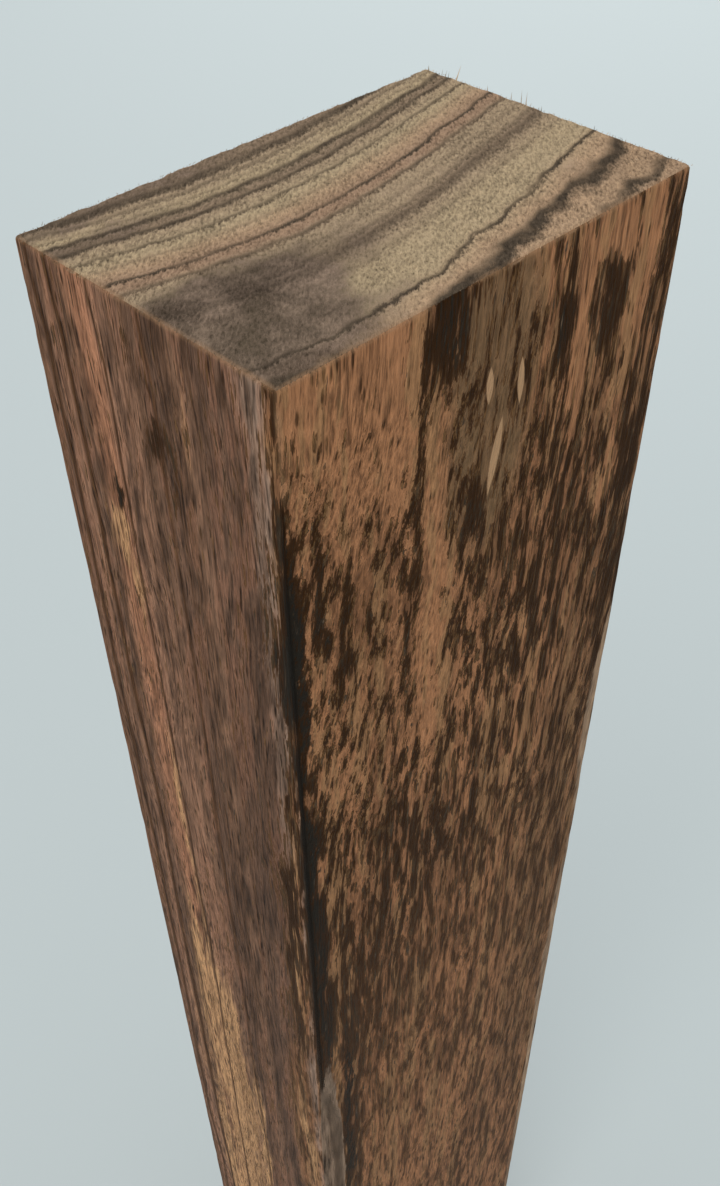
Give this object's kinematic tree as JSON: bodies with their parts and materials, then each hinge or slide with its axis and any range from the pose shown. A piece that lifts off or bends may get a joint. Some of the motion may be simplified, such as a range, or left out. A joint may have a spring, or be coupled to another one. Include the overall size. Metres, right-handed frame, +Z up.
{
  "type": "bocote wood blank",
  "caption": "Rectangular sawn stick of striped bocote hardwood for turning or joinery, with rough end grain and torn arrises, standing on an end.",
  "frame": {"origin": "middle of the lower sawn end, which the blank stands on", "axes": "+Z up along the grain, X along the wide faces, Y along the narrow faces; the flat-sawn wide face in the picture looks along -Y and the narrow one along -X"},
  "size_m": [0.0508, 0.033, 0.3048],
  "materials": {
    "bocote": "sawn, dry and unfinished, with dark stripes on orange-brown long grain and olive-grey end grain"
  },
  "bodies": {
    "root": {"blank": "bocote"}
  },
  "joints": []
}
